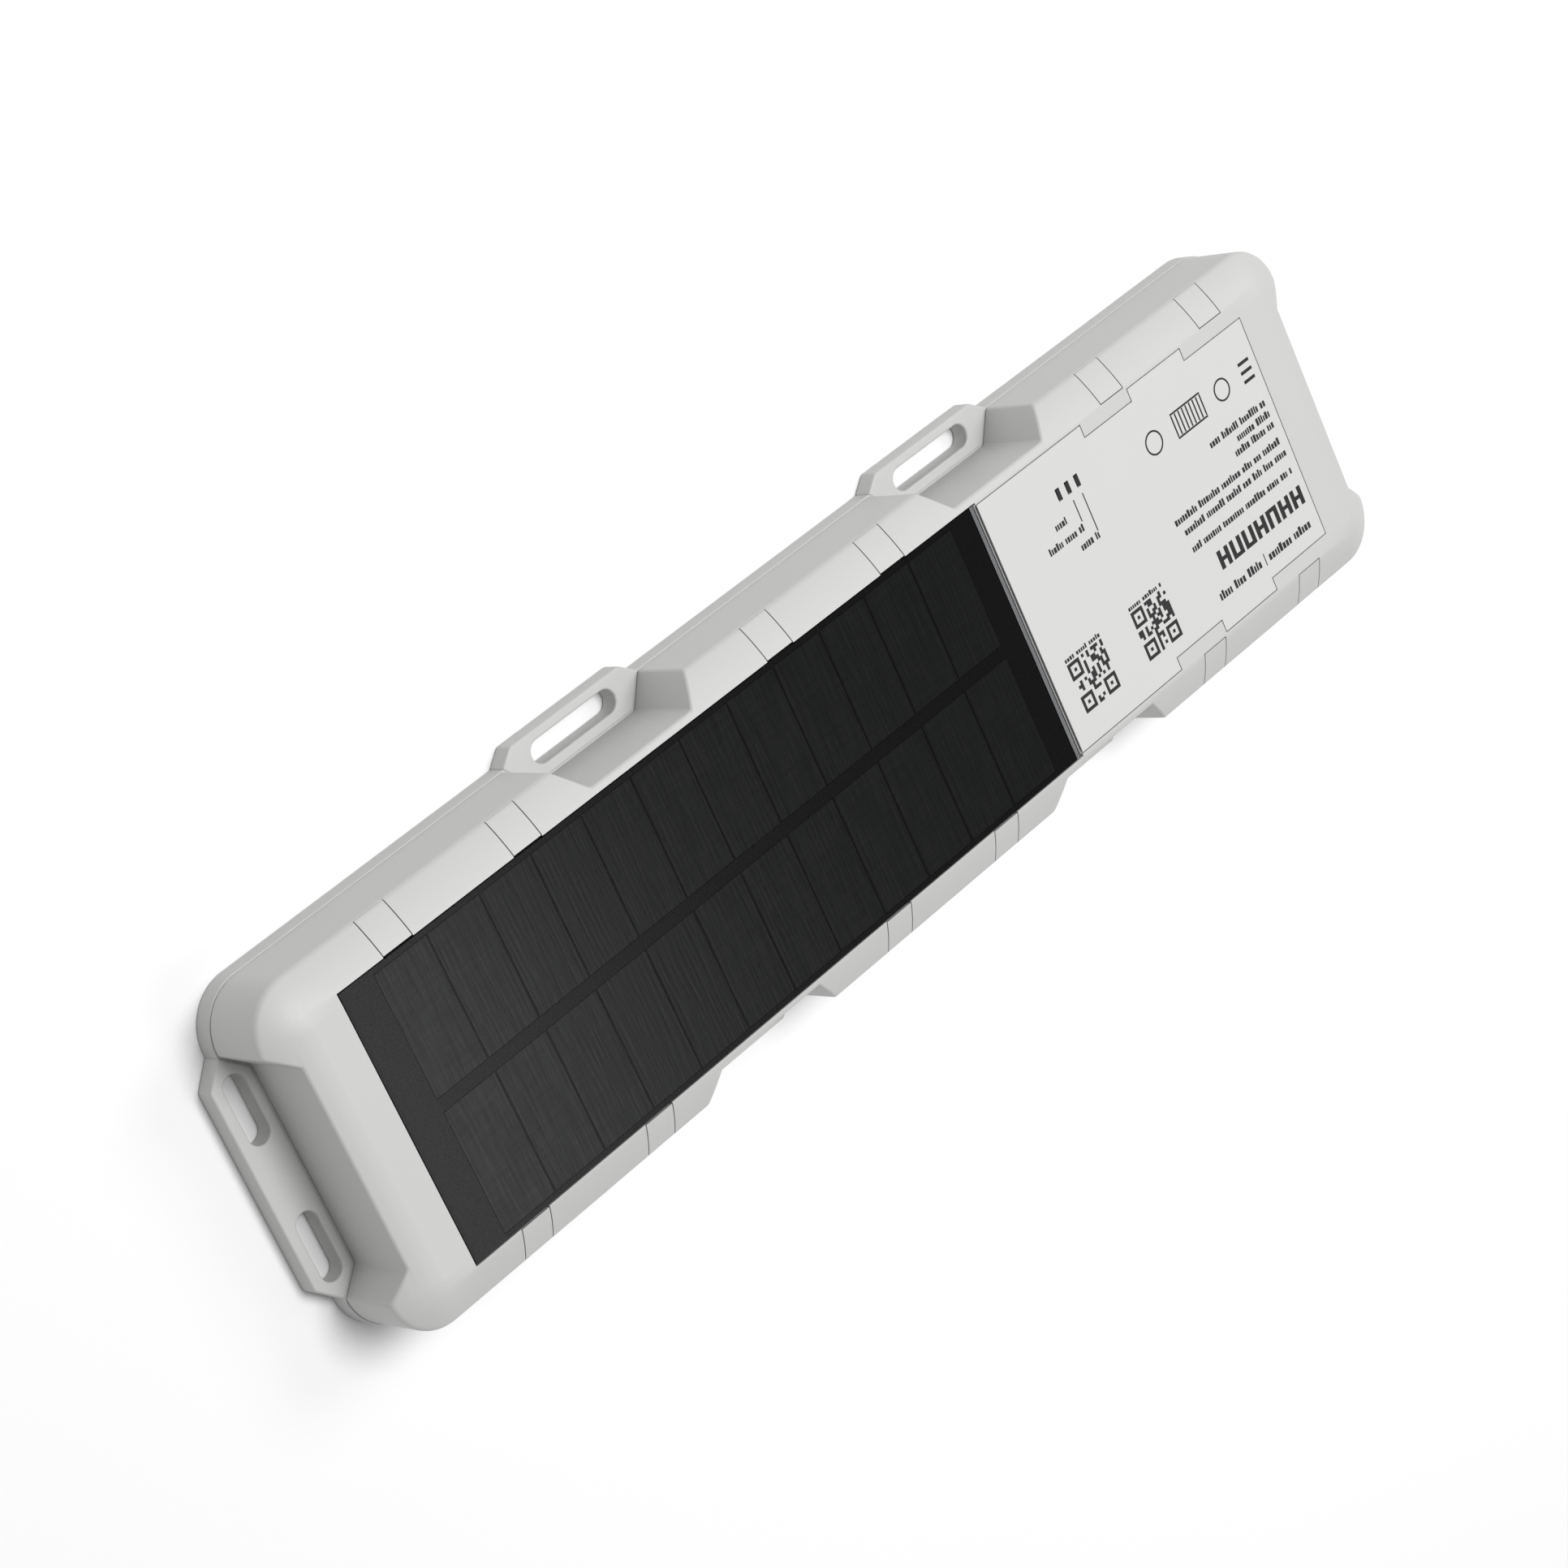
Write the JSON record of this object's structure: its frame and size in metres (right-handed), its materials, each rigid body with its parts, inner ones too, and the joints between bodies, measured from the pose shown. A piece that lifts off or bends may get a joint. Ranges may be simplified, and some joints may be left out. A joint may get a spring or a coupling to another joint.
{
  "type": "solar charged asset tracker",
  "caption": "Long flat weatherproof box with a solar panel set in its crowned front and slotted lugs round its base, for screwing a self-charging tracker to a surface",
  "frame": {"origin": "middle of the mounting face, under the middle of the overall box", "axes": "+Z out of the solar face, +X along the body towards the label end, +Y across the body, so that seen from the front with +X right the status lights are above the middle line"},
  "size_m": [0.383, 0.0996, 0.0276],
  "materials": {
    "housing": "fine satin texture, injection moulded, weather-resistant pale grey",
    "clip": "same moulded pale grey plastic as the cover",
    "panel_laminate": "black backsheet and encapsulant under a matt clear film",
    "solar_cell": "monocrystalline silicon with fine silver fingers, under a matt clear film",
    "panel_trim": "dark grey anodised strip with a chamfer",
    "label": "satin white printed film",
    "light_window": "smoked clear light pipe",
    "gasket": "black moulded seal",
    "circuit_board": "green solder mask on glass-epoxy board",
    "steel": "tin-plated and zinc-plated steel",
    "antenna_ceramic": "fired ceramic patch with a silver face",
    "battery_can": "blue plastic sleeve over a metal can",
    "black_plastic": "moulded black plastic",
    "lead_jacket": "red flexible jacket over copper"
  },
  "bodies": {
    "root": {"base_shell": "housing", "front_cover": "housing", "shoulder_clip_left_1": "clip", "shoulder_clip_right_1": "clip", "shoulder_clip_left_2": "clip", "shoulder_clip_right_2": "clip", "shoulder_clip_left_3": "clip", "shoulder_clip_right_3": "clip", "shoulder_clip_left_4": "clip", "shoulder_clip_right_4": "clip", "shoulder_clip_left_5": "clip", "shoulder_clip_right_5": "clip", "shoulder_clip_left_6": "clip", "shoulder_clip_right_6": "clip", "panel_laminate": "panel_laminate", "solar_cell_1": "solar_cell", "solar_cell_2": "solar_cell", "solar_cell_3": "solar_cell", "solar_cell_4": "solar_cell", "solar_cell_5": "solar_cell", "solar_cell_6": "solar_cell", "solar_cell_7": "solar_cell", "solar_cell_8": "solar_cell", "solar_cell_9": "solar_cell", "solar_cell_10": "solar_cell", "solar_cell_11": "solar_cell", "solar_cell_12": "solar_cell", "solar_cell_13": "solar_cell", "solar_cell_14": "solar_cell", "solar_cell_15": "solar_cell", "solar_cell_16": "solar_cell", "solar_cell_17": "solar_cell", "solar_cell_18": "solar_cell", "solar_cell_19": "solar_cell", "solar_cell_20": "solar_cell", "solar_cell_21": "solar_cell", "solar_cell_22": "solar_cell", "solar_cell_23": "solar_cell", "solar_cell_24": "solar_cell", "panel_end_trim": "panel_trim", "label_sheet": "label", "light_window_1": "light_window", "light_window_2": "light_window", "light_window_3": "light_window", "perimeter_gasket": "gasket", "main_board": "circuit_board", "board_screw_1": "steel", "board_screw_2": "steel", "board_screw_3": "steel", "board_screw_4": "steel", "satellite_antenna": "antenna_ceramic", "mobile_antenna": "circuit_board", "modem_shield": "steel", "battery_cradle": "black_plastic", "battery_cell_1": "battery_can", "battery_cell_2": "battery_can", "battery_cell_3": "battery_can", "panel_lead": "lead_jacket", "battery_lead": "lead_jacket", "vent_plug": "black_plastic"}
  },
  "joints": []
}
